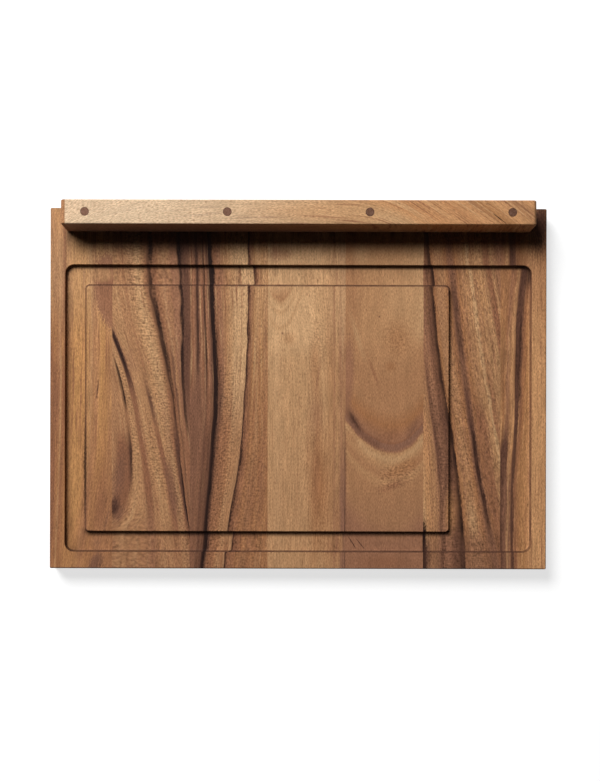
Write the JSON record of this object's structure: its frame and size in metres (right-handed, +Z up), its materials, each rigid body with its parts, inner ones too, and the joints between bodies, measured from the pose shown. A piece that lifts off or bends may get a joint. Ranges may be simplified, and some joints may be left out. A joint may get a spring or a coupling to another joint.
{
  "type": "carving board",
  "caption": "Rectangular edge-glued wooden carving board with a juice groove that widens to a well at one side and a dowelled lip bar standing along the back edge.",
  "frame": {"origin": "centre of the flat underside", "axes": "+X along the board with the well on the right, +Y towards the lip, +Z up"},
  "size_m": [0.559, 0.406, 0.063],
  "materials": {
    "stave_wood": "oiled satin, walnut-brown to honey, dark streaks along the grain",
    "lip_wood": "oiled satin, pale honey, grain along the bar",
    "dowel_wood": "oiled end grain, dark red-brown"
  },
  "bodies": {
    "root": {"stave_1": "stave_wood", "stave_2": "stave_wood", "stave_3": "stave_wood", "stave_4": "stave_wood", "stave_5": "stave_wood", "stave_6": "stave_wood", "stave_7": "stave_wood", "lip_bar": "lip_wood", "dowel_1": "dowel_wood", "dowel_2": "dowel_wood", "dowel_3": "dowel_wood", "dowel_4": "dowel_wood"}
  },
  "joints": []
}
